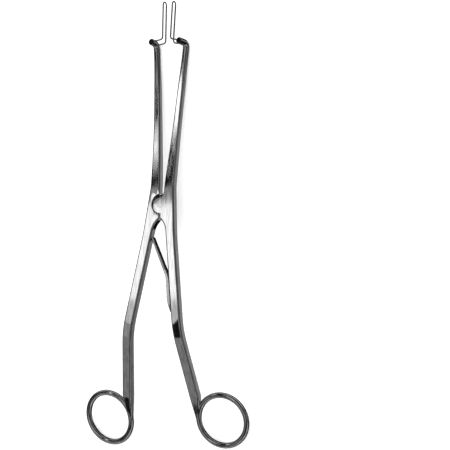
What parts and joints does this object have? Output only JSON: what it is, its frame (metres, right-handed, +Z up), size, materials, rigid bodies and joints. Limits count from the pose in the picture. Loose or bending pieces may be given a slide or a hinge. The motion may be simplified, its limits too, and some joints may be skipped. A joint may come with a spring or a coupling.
{
  "type": "endocervical speculum",
  "caption": "Hand-held endocervical speculum: two pivoted steel levers with finger rings, a leaf spring between the shanks and a wire tip on a bent post at each jaw.",
  "frame": {"origin": "middle of the footprint, on the table under the instrument as it lies on its two rings and its two jaw elbows", "axes": "+X from the finger rings towards the wire tips, +Y towards the left lever, +Z up from the table"},
  "size_m": [0.2408, 0.1014, 0.0208],
  "materials": {
    "lever_steel": "mirror-polished stainless steel",
    "pin_steel": "polished stainless steel, ground flush",
    "wire_steel": "polished drawn stainless wire",
    "spring_steel": "polished hardened spring steel"
  },
  "bodies": {
    "right_lever": {"right_arm": "lever_steel", "pivot_pin": "pin_steel", "spring_foot": "spring_steel", "spring_rivets": "pin_steel", "right_tip": "wire_steel"},
    "left_lever": {"left_arm": "lever_steel", "left_tip": "wire_steel"},
    "leaf_blade": {"spring_blade": "spring_steel"}
  },
  "joints": [
    {"name": "arm_pivot", "type": "hinge", "parent": "right_lever", "child": "left_lever", "pos_m": [0.0099, 0, 0.0103], "axis": [0.1306, 0, 0.9914], "range_deg": [-2.1, 12], "stiffness_Nm_per_rad": 2.5},
    {"name": "spring_flex", "type": "hinge", "parent": "right_lever", "child": "leaf_blade", "pos_m": [-0.02888, -0.00687, 0.01541], "axis": [0.1306, 0, 0.9914], "range_deg": [-12.2, 2.3]}
  ],
  "couplings": [
    {"joint": "spring_flex", "follows": "arm_pivot", "ratio": -1}
  ]
}
